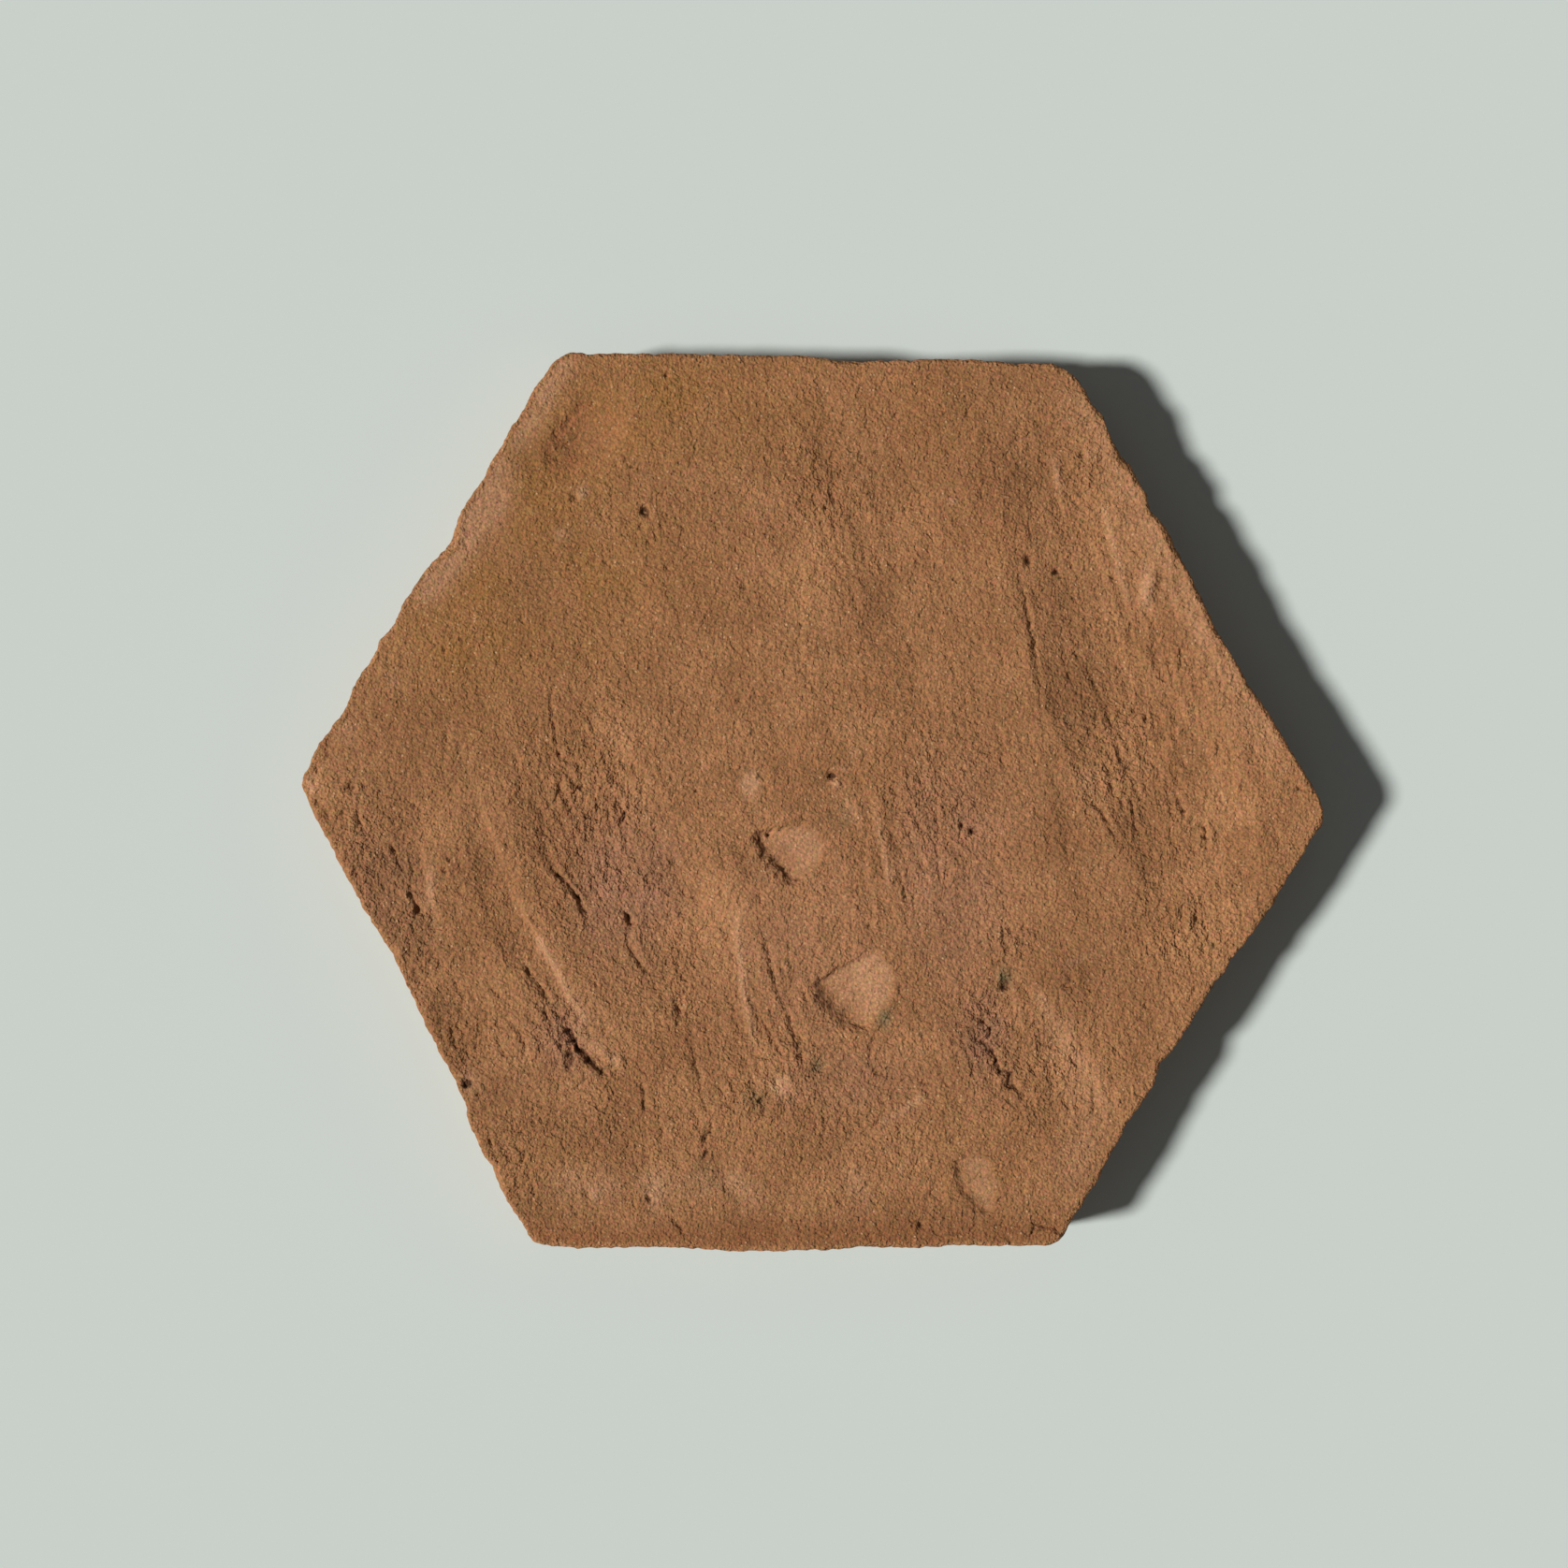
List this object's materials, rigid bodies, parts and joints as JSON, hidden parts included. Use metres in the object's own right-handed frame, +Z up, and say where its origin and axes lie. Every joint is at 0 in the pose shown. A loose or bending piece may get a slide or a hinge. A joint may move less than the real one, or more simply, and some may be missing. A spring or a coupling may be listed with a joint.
{
  "type": "terracotta floor tile",
  "caption": "Hand-cut hexagonal terracotta floor tile with bowed sides, rounded corners and a shallowly dished face marked by finger swipes and plucked scars.",
  "frame": {"origin": "on the plane of the underside, under the middle of the tile's bounding box", "axes": "+Z up, out of the worn face; +X from the left corner to the right corner, the widest way across; +Y towards the upper side"},
  "size_m": [0.2294, 0.2018, 0.02],
  "materials": {
    "fired_clay": "matte"
  },
  "bodies": {
    "root": {"terracotta_tile": "fired_clay"}
  },
  "joints": []
}
